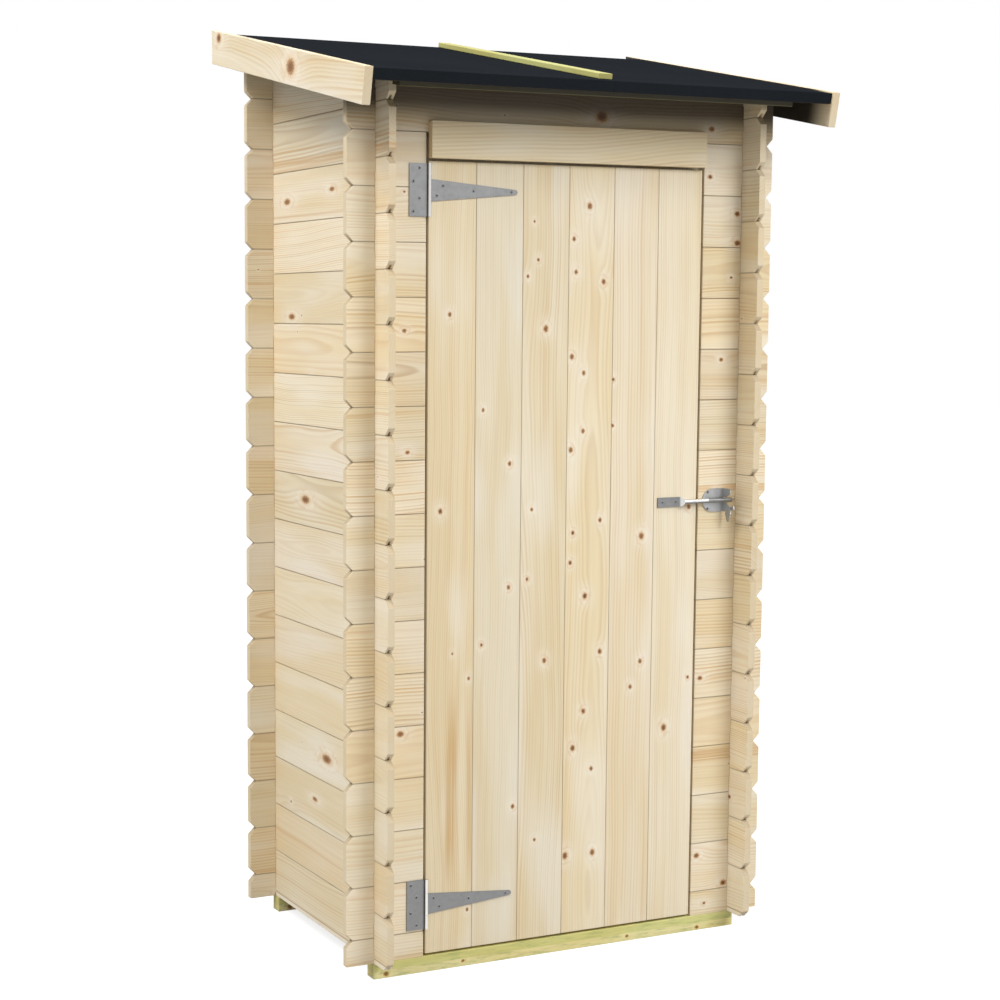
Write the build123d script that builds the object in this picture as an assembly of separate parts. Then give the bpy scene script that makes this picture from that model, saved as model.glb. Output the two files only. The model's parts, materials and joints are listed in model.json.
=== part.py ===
from build123d import *
import os
from math import atan, cos, sin

# Walls: tongued logs that cross at the corners
log_face = 112.0             # height that one log course adds to a wall
log_thickness = 16.0
wall_width = 914.0           # over the outer faces of the side walls
wall_depth = 556.0           # over the outer faces of the front and back walls
corner_reach = 64.0          # how far each log runs past the corner
front_courses = 16           # whole logs above the half log in the front wall
back_courses = 17            # whole logs above the half log in the back wall
side_courses = 18            # logs in a side wall, the upper two cut to the roof
end_cut = 15.0               # 45 degree cut on the corners of a log end
tongue_thickness = 4.4
tongue_height = 6.0
groove_thickness = 5.0
groove_depth = 8.0
notch_share = 0.25           # of a log's face, cut from its top and its bottom at a corner

# Clearances
seat_gap = 0.3               # between pieces that lie on each other
notch_gap = 0.4              # on each side of a log in a corner notch
door_gap = 5.0               # round the door
overrun = 5.0                # how far a cutting shape runs past what it cuts

# Bearers and floor
bearer_height = 35.0
bearer_depth = 33.0
floor_thickness = 16.0
floor_board_count = 8

# Doorway and door
front_return = 116.0         # front wall beside the doorway, from the side wall's outer face
door_board_count = 6         # of the same thickness as the logs
ledge_height = 70.0
ledge_thickness = 16.0
ledge_inset = 45.0           # from the door's edge to the end of a ledge
brace_width = 70.0
post_width = 32.0
post_depth = 28.0
post_lap = 60.0              # how far a post runs up behind the top log
header_height = 75.0
header_thickness = 16.0
header_lap = 22.0            # header up over the foot of the top log

# Roof
deck_thickness = 20.0
felt_thickness = 3.0
felt_lip = 22.0              # felt turned down over the front edge
eaves_reach = 169.0          # deck past the front wall, along the slope
back_overhang = 37.0         # deck past the back wall, along the slope
side_reach = 88.0            # deck past a side wall
barge_thickness = 18.0
barge_depth = 74.0
barge_rise = 2.5             # barge board above the felt
barge_front = 7.0            # barge board past the deck's front edge
barge_back_overhang = 90.0   # barge board past the back wall, level
strip_width = 33.0
strip_thickness = 11.0
strip_front_inset = 36.0     # cover strip short of the deck's front edge
strip_back_inset = 5.0
batten_end_reach = 13.0      # eaves batten past a side wall
batten_inset = 28.0          # eaves batten behind the deck's front edge

# T hinges
hinge_plate = 2.0
knuckle_diameter = 8.0
pin_diameter = 4.6
pin_clearance = 0.05
leaf_width = 45.0            # from the pin's axis to the leaf's outer edge
leaf_height = 108.0
strap_root = 46.0            # height of the strap at its knuckle
strap_tip = 10.5
strap_length = 208.0         # from the pin's axis to the tip
upper_hinge_drop = 59.5      # middle of the strap below the door's top
lower_hinge_rise = 110.0     # middle of the strap above the door's foot

# Gate latch
latch_height = 952.0         # bar's axis above the wall's foot
striker_length = 55.0
striker_height = 21.0
striker_plate = 3.0
striker_edge_inset = 48.0    # from the door's edge to the near end of the striker plate
striker_flare = 10.0         # length over which the plate becomes the bar
bar_diameter = 10.0
bar_past_door = 87.0         # bar's end past the door's edge
bar_clearance = 1.5          # between the bar and the latch plate behind it
flare_girth = 28.0           # of the cone that rounds the plate's corners down to the bar
latch_plate = 2.5
latch_plate_inset = 10.0     # from the doorway to the latch plate's rounded edge
latch_plate_length = 56.0
latch_plate_height = 52.0
fork_reach = 30.0            # fork stands out from the wall
fork_slot = 13.0             # height of the slot that takes the bar
fork_mouth = 30.0            # height of the slot's flared mouth
lever_thickness = 2.5
lever_gap = 0.4
lever_pivot_drop = 21.0      # pivot below the bar's axis
lever_pivot_out = 19.0       # pivot in front of the wall
lever_width = 8.0
lever_nose = 22.0            # from the pivot to the end that traps the bar
lever_nose_angle = 75.0      # nose from upright, while the bar is free
lever_tail = 28.0            # from the pivot to the end that the hand lifts
lever_tail_width = 20.0
lever_leaf_share = 0.35      # of the tail, from the pivot to its widest place
lever_pin_diameter = 4.0
lever_pin_reach = 1.2        # pin past the lever

# Places worked out from the sizes
wall_foot = bearer_height + seat_gap
notch_depth = log_face * notch_share
front_top = (front_courses + notch_share * 2) * log_face
back_top = (back_courses + notch_share * 2) * log_face
roof_angle = atan((back_top - front_top) / (wall_depth - log_thickness))
doorway_width = wall_width - 2 * front_return
door_width = doorway_width - 2 * door_gap
door_board_face = door_width / door_board_count
door_left = -door_width / 2
door_right = door_width / 2
door_foot = wall_foot + door_gap
doorway_top = wall_foot + front_top - log_face
header_foot = doorway_top + header_lap - header_height
door_height = header_foot - door_gap - door_foot
upper_hinge_height = door_foot - wall_foot + door_height - upper_hinge_drop
lower_hinge_height = door_foot - wall_foot + lower_hinge_rise
back_reach = wall_depth / cos(roof_angle) + back_overhang
felt_top = deck_thickness + 2 * seat_gap + felt_thickness
barge_top = felt_top + barge_rise
knuckle_radius = knuckle_diameter / 2
pin_y = -seat_gap - knuckle_radius
bar_y = -seat_gap - latch_plate - bar_clearance - bar_diameter / 2

# The plan's middle lies at the origin, so the front wall's face is set back from it
barge_front_y = -(eaves_reach + barge_front) * cos(roof_angle) - barge_top * sin(roof_angle)
barge_back_y = wall_depth + barge_back_overhang
front_y = -(barge_front_y + barge_back_y) / 2
roof_plane = Plane(
    origin=(0, front_y, wall_foot + front_top),
    x_dir=(1, 0, 0),
    z_dir=(0, -sin(roof_angle), cos(roof_angle)),
)


def block(x_range, y_range, z_range):
    """A plain block between two corners."""
    size = [high - low for low, high in (x_range, y_range, z_range)]
    middle = [(high + low) / 2 for low, high in (x_range, y_range, z_range)]
    return Pos(*middle) * Box(*size)


def upright_plate(points, y_front, thickness):
    """An outline in X and Z, given its thickness in Y from its front face."""
    face = make_face(Polyline(*[(x, 0, z) for x, z in points], close=True))
    return Pos(0, y_front, 0) * extrude(face, thickness, dir=(0, 1, 0))


def rail(start, end, face, tongue=True, groove=True, cuts=(True, True), foot_cut=True, crossings=()):
    """A tongued log along X: its foot at Z 0 and its outer face at Y 0."""
    start_cut, finish_cut = [end_cut if cut else 0 for cut in cuts]
    start_foot, finish_foot = [cut if foot_cut else 0 for cut in (start_cut, finish_cut)]
    notches = [(x - notch_gap, x + log_thickness + notch_gap) for x in crossings]
    outline = [(start, start_foot), (start + start_foot, 0)]
    for left, right in notches if foot_cut else ():
        outline += [(left, 0), (left, notch_depth), (right, notch_depth), (right, 0)]
    outline += [(end - finish_foot, 0), (end, finish_foot)]
    outline += [(end, face - finish_cut), (end - finish_cut, face)]
    for left, right in reversed(notches):
        outline += [(right, face), (right, face - notch_depth), (left, face - notch_depth), (left, face)]
    outline += [(start + start_cut, face), (start, face - start_cut)]
    points = [point for i, point in enumerate(outline) if point != outline[i - 1]]
    log = upright_plate(points, 0, log_thickness)
    middle = log_thickness / 2
    if groove:
        log -= block(
            (start - overrun, end + overrun),
            (middle - groove_thickness / 2, middle + groove_thickness / 2),
            (-overrun, groove_depth),
        )
    if tongue:
        # past a corner the log's end is plain, so the tongue stops at the notch
        tongue_start = notches[0][1] if cuts[0] else start
        tongue_end = notches[-1][0] if cuts[1] else end
        log += block(
            (tongue_start, tongue_end),
            (middle - tongue_thickness / 2, middle + tongue_thickness / 2),
            (face - overrun, face + tongue_height),
        )
    return log


def long_wall(courses, left, right, crossings, cuts):
    """A half log and whole logs on top of each other, as in the front and back walls."""
    half = log_face * notch_share * 2
    logs = [rail(left, right, half - seat_gap, groove=False, cuts=cuts, foot_cut=False, crossings=crossings)]
    for course in range(courses):
        log = rail(
            left, right, log_face - seat_gap, tongue=course < back_courses - 1, cuts=cuts, crossings=crossings
        )
        logs.append(Pos(0, 0, half + course * log_face) * log)
    return logs


def side_wall(outer_x):
    """Whole logs from the foot up, the highest ones cut to the roof's slope."""
    crossings = (0, wall_depth - log_thickness)
    under_roof = -seat_gap
    sky = roof_plane * block(
        (-wall_width, wall_width), (-wall_depth, 2 * wall_depth), (under_roof, under_roof + 2 * log_face)
    )
    logs = []
    for course in range(side_courses):
        log = rail(
            -corner_reach, wall_depth + corner_reach, log_face - seat_gap,
            tongue=course < side_courses - 1, crossings=crossings,
        )
        log = Pos(outer_x, front_y, wall_foot + course * log_face) * Rot(0, 0, 90) * log
        if (course + 1) * log_face + tongue_height > front_top - log_face:
            log -= sky
        logs.append(log)
    return logs


def front_walls():
    """Short logs on each side of the doorway, and the log that ties them over it."""
    outer = wall_width / 2
    edge = doorway_width / 2
    place = Pos(0, front_y, wall_foot)
    short = front_courses - 1
    left = long_wall(short, -outer - corner_reach, -edge, [-outer], (True, False))
    right = long_wall(short, edge, outer + corner_reach, [outer - log_thickness], (False, True))
    top = rail(
        -outer - corner_reach, outer + corner_reach, log_face - seat_gap,
        tongue=False, crossings=(-outer, outer - log_thickness),
    )
    return {
        "front_wall_logs_left": [place * log for log in left],
        "front_wall_logs_right": [place * log for log in right],
        "front_wall_top_log": [place * Pos(0, 0, front_top - log_face) * top],
    }


def back_wall():
    outer = wall_width / 2
    crossings = (-outer, outer - log_thickness)
    logs = long_wall(back_courses, -outer - corner_reach, outer + corner_reach, crossings, (True, True))
    return [Pos(0, front_y + wall_depth - log_thickness, wall_foot) * log for log in logs]


def bearer(y):
    return block((-wall_width / 2, wall_width / 2), (y, y + bearer_depth), (0, bearer_height))


def floor_boards():
    """Boards from front to back, let in between the walls on the bearers."""
    inside = wall_width / 2 - log_thickness - seat_gap
    pitch = 2 * inside / floor_board_count
    front = front_y + log_thickness + seat_gap
    back = front_y + wall_depth - log_thickness - seat_gap
    boards = []
    for i in range(floor_board_count):
        left = -inside + i * pitch
        width = (left, left + pitch - seat_gap)
        boards.append(block(width, (front, back), (wall_foot, wall_foot + floor_thickness)))
    return boards


def door_post(side):
    """An upright that holds the short logs together inside the doorway."""
    edge = side * doorway_width / 2
    inner = front_y + log_thickness + seat_gap
    foot = wall_foot + floor_thickness + seat_gap
    return block(
        sorted((edge, edge + side * post_width)), (inner, inner + post_depth), (foot, doorway_top + post_lap)
    )


def door_board(i):
    """One upright board of the door, tongued into the next."""
    rail_board = rail(
        0, door_height, door_board_face - seat_gap,
        tongue=i < door_board_count - 1, groove=i > 0, cuts=(False, False),
    )
    upright = Rot(0, -90, 0) * Rot(180, 0, 0) * Pos(0, -log_thickness, 0) * rail_board
    return Pos(door_left + i * door_board_face, front_y, door_foot) * upright


def door_ledge(height):
    inner = front_y + log_thickness + seat_gap
    middle = wall_foot + height
    return block(
        (door_left + ledge_inset, door_right - ledge_inset),
        (inner, inner + ledge_thickness),
        (middle - ledge_height / 2, middle + ledge_height / 2),
    )


def door_brace():
    """The diagonal that carries the door's weight back to the lower hinge."""
    low = wall_foot + lower_hinge_height + ledge_height / 2 + seat_gap
    high = wall_foot + upper_hinge_height - ledge_height / 2 - seat_gap
    left = door_left + ledge_inset
    right = door_right - ledge_inset
    outline = [(left, low), (left + brace_width, low), (right, high), (right - brace_width, high)]
    return upright_plate(outline, front_y + log_thickness + seat_gap, ledge_thickness)


def header():
    """The board over the door, on the face of the top log."""
    return block(
        (door_left, door_right),
        (front_y - seat_gap - header_thickness, front_y - seat_gap),
        (header_foot, header_foot + header_height),
    )


def on_roof(x_range, slope_range, lift_range):
    """A block that lies along the roof: across, up the slope, and out from the deck's underside."""
    return roof_plane * block(x_range, slope_range, lift_range)


def roof_panel(side):
    """One of the two board panels of the roof."""
    half = sorted((side * seat_gap / 2, side * (wall_width / 2 + side_reach)))
    return on_roof(half, (-eaves_reach, back_reach), (0, deck_thickness))


def roof_felt(side):
    """Felt over one panel, turned down over the front edge."""
    half = sorted((side * seat_gap / 2, side * (wall_width / 2 + side_reach)))
    low = deck_thickness + seat_gap
    front = -eaves_reach - seat_gap
    sheet = on_roof(half, (front, back_reach), (low, low + felt_thickness))
    high = low + felt_thickness
    return sheet + on_roof(half, (front - felt_thickness, front), (high - felt_lip, high))


def cover_strip():
    """The strip over the joint of the two felts."""
    return on_roof(
        (-strip_width / 2, strip_width / 2),
        (-eaves_reach + strip_front_inset, back_reach - strip_back_inset),
        (felt_top, felt_top + strip_thickness),
    )


def eaves_batten():
    """The batten under the front edge that ties the two panels."""
    reach = wall_width / 2 + batten_end_reach
    front = -eaves_reach + batten_inset
    return on_roof((-reach, reach), (front, front + strip_width), (-seat_gap - strip_thickness, -seat_gap))


def barge_board(side):
    """The board along a side of the roof: square at the front and plumb at the back."""
    inner = wall_width / 2 + side_reach + seat_gap
    board = on_roof(
        sorted((side * inner, side * (inner + barge_thickness))),
        (-eaves_reach - barge_front, back_reach + 2 * barge_back_overhang),
        (barge_top - barge_depth, barge_top),
    )
    beyond = front_y + barge_back_y
    behind = block((-wall_width, wall_width), (beyond, beyond + wall_depth), (0, wall_foot + 2 * back_top))
    return board - behind


def hinge_leaf(height):
    """The wall's half of a T hinge, with the outer knuckles and the pin."""
    middle = wall_foot + height
    half = leaf_height / 2
    free = strap_root / 2 + seat_gap
    back = front_y - seat_gap
    leaf = (door_left - leaf_width, door_left)
    plate = block(leaf, (back - hinge_plate, back), (middle - half, middle + half))
    plate -= block(
        (door_left - knuckle_radius - seat_gap, door_left + overrun),
        (back - hinge_plate - overrun, back + overrun),
        (middle - free, middle + free),
    )
    axis = Pos(door_left, front_y + pin_y, middle)
    knuckle = Cylinder(knuckle_radius, half - free)
    offset = (half + free) / 2
    pin = Cylinder(pin_diameter / 2, leaf_height)
    return plate + axis * Pos(0, 0, offset) * knuckle + axis * Pos(0, 0, -offset) * knuckle + axis * pin


def hinge_strap(height):
    """The door's half of a T hinge: a long tapered strap with a rounded tip."""
    middle = wall_foot + height
    back = front_y - seat_gap
    tip = strap_tip / 2
    tip_x = door_left + strap_length - tip
    outline = [(door_left, -strap_root / 2), (tip_x, -tip), (tip_x, tip), (door_left, strap_root / 2)]
    strap = upright_plate(outline, 0, hinge_plate)
    strap += Pos(tip_x, hinge_plate / 2, 0) * Rot(90, 0, 0) * Cylinder(tip, hinge_plate)
    strap = Pos(0, back - hinge_plate, middle) * strap
    axis = Pos(door_left, front_y + pin_y, middle)
    strap += axis * Cylinder(knuckle_radius, strap_root)
    return strap - axis * Cylinder(pin_diameter / 2 + pin_clearance, strap_root + overrun)


def latch_bar():
    """The striker plate on the door, hammered out of the round bar that runs into the fork."""
    right = door_right - striker_edge_inset
    back = front_y - seat_gap
    middle = wall_foot + latch_height
    radius = bar_diameter / 2
    bar_axis_y = front_y + bar_y
    plate = block(
        (right - striker_length, right),
        (back - striker_plate, back),
        (middle - striker_height / 2, middle + striker_height / 2),
    )
    start = right + striker_flare
    end = door_right + bar_past_door
    lying = Rot(0, 90, 0)
    rod = Pos((start + end) / 2, bar_axis_y, middle) * lying * Cylinder(radius, end - start)
    plan = [(right, back), (right, back - striker_plate)]
    plan += [(start, bar_axis_y - radius), (start, bar_axis_y + radius)]
    wedge_face = make_face(Polyline(*[(x, y, middle - striker_height / 2) for x, y in plan], close=True))
    wedge = extrude(wedge_face, striker_height, dir=(0, 0, 1))
    cone = Pos((right + start) / 2, bar_axis_y, middle) * lying * Cone(flare_girth / 2, radius, striker_flare)
    return plate + (wedge & cone) + rod


def latch_fork_x():
    return doorway_width / 2 + latch_plate_inset + latch_plate_length


def latch_pivot():
    return front_y - lever_pivot_out, wall_foot + latch_height - lever_pivot_drop


def latch_body():
    """The plate on the wall, with the fork that stands out from it and the lever's pin."""
    left = doorway_width / 2 + latch_plate_inset
    right = latch_fork_x()
    middle = wall_foot + latch_height
    half = latch_plate_height / 2
    back = front_y - seat_gap
    plate = block((left + half, right), (back - latch_plate, back), (middle - half, middle + half))
    nose = Pos(left + half, back - latch_plate / 2, middle) * Rot(90, 0, 0) * Cylinder(half, latch_plate)
    slot = fork_slot / 2
    mouth = fork_mouth / 2
    front = back - fork_reach
    throat = back - latch_plate
    flare = front + fork_reach / 2
    outline = [
        (back, -half), (back, half), (front, half), (front, mouth), (flare, slot), (throat, slot),
        (throat, -slot), (flare, -slot), (front, -mouth), (front, -half),
    ]
    face = make_face(Polyline(*[(right - latch_plate, y, middle + z) for y, z in outline], close=True))
    fork = extrude(face, latch_plate, dir=(1, 0, 0))
    pivot_y, pivot_z = latch_pivot()
    pin_length = lever_gap + lever_thickness + lever_pin_reach
    pin = Rot(0, 90, 0) * Cylinder(lever_pin_diameter / 2, pin_length)
    return plate + nose + fork + Pos(right + pin_length / 2, pivot_y, pivot_z) * pin


def latch_lever():
    """The lever that turns on the fork's pin: its nose traps the bar and its leaf-shaped tail hangs."""
    pivot_y, pivot_z = latch_pivot()
    half = lever_width / 2
    leaf = lever_tail_width / 2
    boss = Cylinder(half, lever_thickness)
    waist = -lever_tail * lever_leaf_share
    side = [(half, 0), (leaf, waist), (half / 2, -lever_tail)]
    outline = side + [(-x, y) for x, y in reversed(side)]
    tail = extrude(make_face(Polyline(*outline, close=True)), lever_thickness / 2, both=True)
    nose = Pos(0, lever_nose / 2, 0) * Box(lever_width, lever_nose, lever_thickness)
    lever = boss + tail + Rot(0, 0, lever_nose_angle) * nose
    lever -= Cylinder(lever_pin_diameter / 2 + pin_clearance, lever_thickness + overrun)
    middle_x = latch_fork_x() + lever_gap + lever_thickness / 2
    frame = Plane(origin=(middle_x, pivot_y, pivot_z), x_dir=(0, 1, 0), z_dir=(1, 0, 0))
    return frame * lever


nodes = {
    "front_bearer": [bearer(front_y)],
    "back_bearer": [bearer(front_y + wall_depth - bearer_depth)],
    "floor_boards": floor_boards(),
    "back_wall_logs": back_wall(),
    "left_wall_logs": side_wall(-wall_width / 2 + log_thickness),
    "right_wall_logs": side_wall(wall_width / 2),
    "left_door_post": [door_post(-1)],
    "right_door_post": [door_post(1)],
    "door_header": [header()],
    "roof_panel_left": [roof_panel(-1)],
    "roof_panel_right": [roof_panel(1)],
    "roof_felt_left": [roof_felt(-1)],
    "roof_felt_right": [roof_felt(1)],
    "roof_cover_strip": [cover_strip()],
    "eaves_batten": [eaves_batten()],
    "left_barge_board": [barge_board(-1)],
    "right_barge_board": [barge_board(1)],
    "upper_hinge_leaf": [hinge_leaf(upper_hinge_height)],
    "lower_hinge_leaf": [hinge_leaf(lower_hinge_height)],
    "upper_hinge_strap": [hinge_strap(upper_hinge_height)],
    "lower_hinge_strap": [hinge_strap(lower_hinge_height)],
    "upper_door_ledge": [door_ledge(upper_hinge_height)],
    "lower_door_ledge": [door_ledge(lower_hinge_height)],
    "door_brace": [door_brace()],
    "latch_bar": [latch_bar()],
    "latch_body": [latch_body()],
    "latch_lever": [latch_lever()],
}
nodes.update(front_walls())
for i in range(door_board_count):
    nodes[f"door_board_{i + 1}"] = [door_board(i)]

os.makedirs("parts", exist_ok=True)
for name, solids in nodes.items():
    shape = solids[0] if len(solids) == 1 else Compound(children=solids)
    export_step(shape, f"parts/{name}.step")
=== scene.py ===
import bmesh
import bpy
import json
import math
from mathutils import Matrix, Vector


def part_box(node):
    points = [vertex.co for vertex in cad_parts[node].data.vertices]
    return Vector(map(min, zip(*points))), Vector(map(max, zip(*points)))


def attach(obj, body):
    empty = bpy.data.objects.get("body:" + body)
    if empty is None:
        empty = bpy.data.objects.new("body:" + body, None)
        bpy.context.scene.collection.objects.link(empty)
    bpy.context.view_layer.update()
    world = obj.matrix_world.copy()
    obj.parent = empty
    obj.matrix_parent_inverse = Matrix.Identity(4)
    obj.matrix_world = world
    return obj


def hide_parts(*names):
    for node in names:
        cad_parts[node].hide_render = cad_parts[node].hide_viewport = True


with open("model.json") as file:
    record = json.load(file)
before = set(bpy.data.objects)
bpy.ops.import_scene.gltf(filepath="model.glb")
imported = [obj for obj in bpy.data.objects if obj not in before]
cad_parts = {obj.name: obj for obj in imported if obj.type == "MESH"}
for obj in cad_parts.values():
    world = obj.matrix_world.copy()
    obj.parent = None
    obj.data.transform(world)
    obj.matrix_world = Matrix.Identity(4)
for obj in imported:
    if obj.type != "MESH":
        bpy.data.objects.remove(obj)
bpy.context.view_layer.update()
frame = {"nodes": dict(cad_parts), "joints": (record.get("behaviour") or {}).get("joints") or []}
nodes = frame["nodes"]
print("frame loaded,", len(nodes), "nodes")

for spare in ("Cube", "Light", "Camera"):
    if spare in bpy.data.objects:
        bpy.data.objects.remove(bpy.data.objects[spare])

# places that everything else is set out from, in metres
logSetting = {"face": 0.112, "thickness": 0.016, "edge": 0.0013}
logFace = logSetting["face"]
halfLog = logFace / 2
halfThick = logSetting["thickness"] / 2
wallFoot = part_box("left_wall_logs")[0].z
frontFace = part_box("front_wall_top_log")[0].y
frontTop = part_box("front_wall_top_log")[1].z
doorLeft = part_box("door_board_1")[0].x
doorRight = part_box("door_board_6")[1].x
frontMiddle = frontFace + halfThick
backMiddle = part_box("back_wall_logs")[1].y - halfThick
sideMiddle = abs(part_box("left_wall_logs")[0].x) - halfThick

# the roof's slope, and where the boards on it begin
roofSlope = math.atan(logFace / (backMiddle - frontMiddle))
slopeAlong = Vector((0, math.cos(roofSlope), math.sin(roofSlope)))
slopeUp = Vector((0, -slopeAlong.z, slopeAlong.y))


def limitOf(node, direction, end):
    return end(corner.co.dot(direction) for corner in nodes[node].data.vertices)


battenFoot = limitOf("eaves_batten", slopeUp, min)
bargeFoot = limitOf("left_barge_board", slopeUp, min)
bargeStart = limitOf("left_barge_board", slopeAlong, min)


# short ways to wire shader nodes

def feed(tree, socket, value):
    if isinstance(value, bpy.types.NodeSocket):
        tree.links.new(value, socket)
    else:
        socket.default_value = value


def calc(tree, operation, *values):
    node = tree.nodes.new("ShaderNodeMath")
    node.operation = operation
    for socket, value in zip(node.inputs, values):
        feed(tree, socket, value)
    return node.outputs[0]


def total(tree, *values):
    result = values[0]
    for value in values[1:]:
        result = calc(tree, "ADD", result, value)
    return result


def minus(tree, first, second):
    return calc(tree, "SUBTRACT", first, second)


def times(tree, first, second):
    return calc(tree, "MULTIPLY", first, second)


def over(tree, first, second):
    return calc(tree, "DIVIDE", first, second)


def size(tree, value):
    return calc(tree, "ABSOLUTE", value)


def scaled(tree, value, scale, base):
    return calc(tree, "MULTIPLY_ADD", value, scale, base)


def centred(tree, draw):
    return minus(tree, draw, 0.5)


def squared(tree, value, stretch=1.0):
    share = over(tree, value, stretch)
    return times(tree, share, share)


def fallOff(tree, reach):
    return calc(tree, "EXPONENT", times(tree, reach, -1.0))


def vector(tree, x, y, z=0.0):
    node = tree.nodes.new("ShaderNodeCombineXYZ")
    for socket, value in zip(node.inputs, (x, y, z)):
        feed(tree, socket, value)
    return node.outputs[0]


def parts(tree, value):
    node = tree.nodes.new("ShaderNodeSeparateXYZ")
    feed(tree, node.inputs[0], value)
    return node.outputs[0], node.outputs[1], node.outputs[2]


def place(tree):
    return tree.nodes.new("ShaderNodeTexCoord").outputs["Object"]


def facing(tree):
    return parts(tree, tree.nodes.new("ShaderNodeNewGeometry").outputs["Normal"])


def ease(tree, value, low, high, start=0.0, end=1.0):
    node = tree.nodes.new("ShaderNodeMapRange")
    node.interpolation_type = "SMOOTHSTEP"
    given = {"Value": value, "From Min": low, "From Max": high, "To Min": start, "To Max": end}
    for name, number in given.items():
        feed(tree, node.inputs[name], number)
    return node.outputs[0]


def tint(tree, factor, first, second, blend="MIX"):
    node = tree.nodes.new("ShaderNodeMix")
    node.data_type = "RGBA"
    node.blend_type = blend
    for spot, value in ((0, factor), (6, first), (7, second)):
        feed(tree, node.inputs[spot], value)
    return node.outputs[2]


def shaded(tree, colour, shade):
    return tint(tree, 1.0, colour, shade, "MULTIPLY")


def cloud(tree, spot, scale=1.0, detail=2.0, roughness=0.5):
    node = tree.nodes.new("ShaderNodeTexNoise")
    feed(tree, node.inputs["Vector"], spot)
    for name, given in (("Scale", scale), ("Detail", detail), ("Roughness", roughness)):
        feed(tree, node.inputs[name], given)
    return node.outputs[0]


# noise that is drawn out: scales count its waves to the metre, one way and the other
def drift(tree, first, second, scales, third=0.0, detail=2.0, roughness=0.5):
    spot = vector(tree, times(tree, first, scales[0]), times(tree, second, scales[1]), third)
    return cloud(tree, spot, detail=detail, roughness=roughness)


def dice(tree, first, second):
    node = tree.nodes.new("ShaderNodeTexWhiteNoise")
    node.noise_dimensions = "2D"
    feed(tree, node.inputs["Vector"], vector(tree, first, second))
    return parts(tree, node.outputs["Color"])


def numbers(*labels):
    return [(label, "NodeSocketFloat") for label in labels]


def colours(*labels):
    return [(label, "NodeSocketColor") for label in labels]


def newGroup(name, inputs, outputs):
    group = bpy.data.node_groups.new(name, "ShaderNodeTree")
    for label, kind in inputs:
        group.interface.new_socket(label, in_out="INPUT", socket_type=kind)
    for label, kind in outputs:
        group.interface.new_socket(label, in_out="OUTPUT", socket_type=kind)
    return group, group.nodes.new("NodeGroupInput").outputs, group.nodes.new("NodeGroupOutput").inputs


def placeGroup(tree, group, values):
    node = tree.nodes.new("ShaderNodeGroup")
    node.node_tree = group
    for label, value in values.items():
        feed(tree, node.inputs[label], value)
    return node.outputs


def newMaterial(name):
    material = bpy.data.materials.new(name)
    material.use_nodes = True
    tree = material.node_tree
    tree.nodes.clear()
    shader = tree.nodes.new("ShaderNodeBsdfPrincipled")
    output = tree.nodes.new("ShaderNodeOutputMaterial")
    tree.links.new(shader.outputs[0], output.inputs[0])
    return material, tree, shader


def bump(tree, shader, height, distance, strength=0.5):
    node = tree.nodes.new("ShaderNodeBump")
    node.inputs["Strength"].default_value = strength
    node.inputs["Distance"].default_value = distance
    feed(tree, node.inputs["Height"], height)
    tree.links.new(node.outputs[0], shader.inputs["Normal"])


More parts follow.
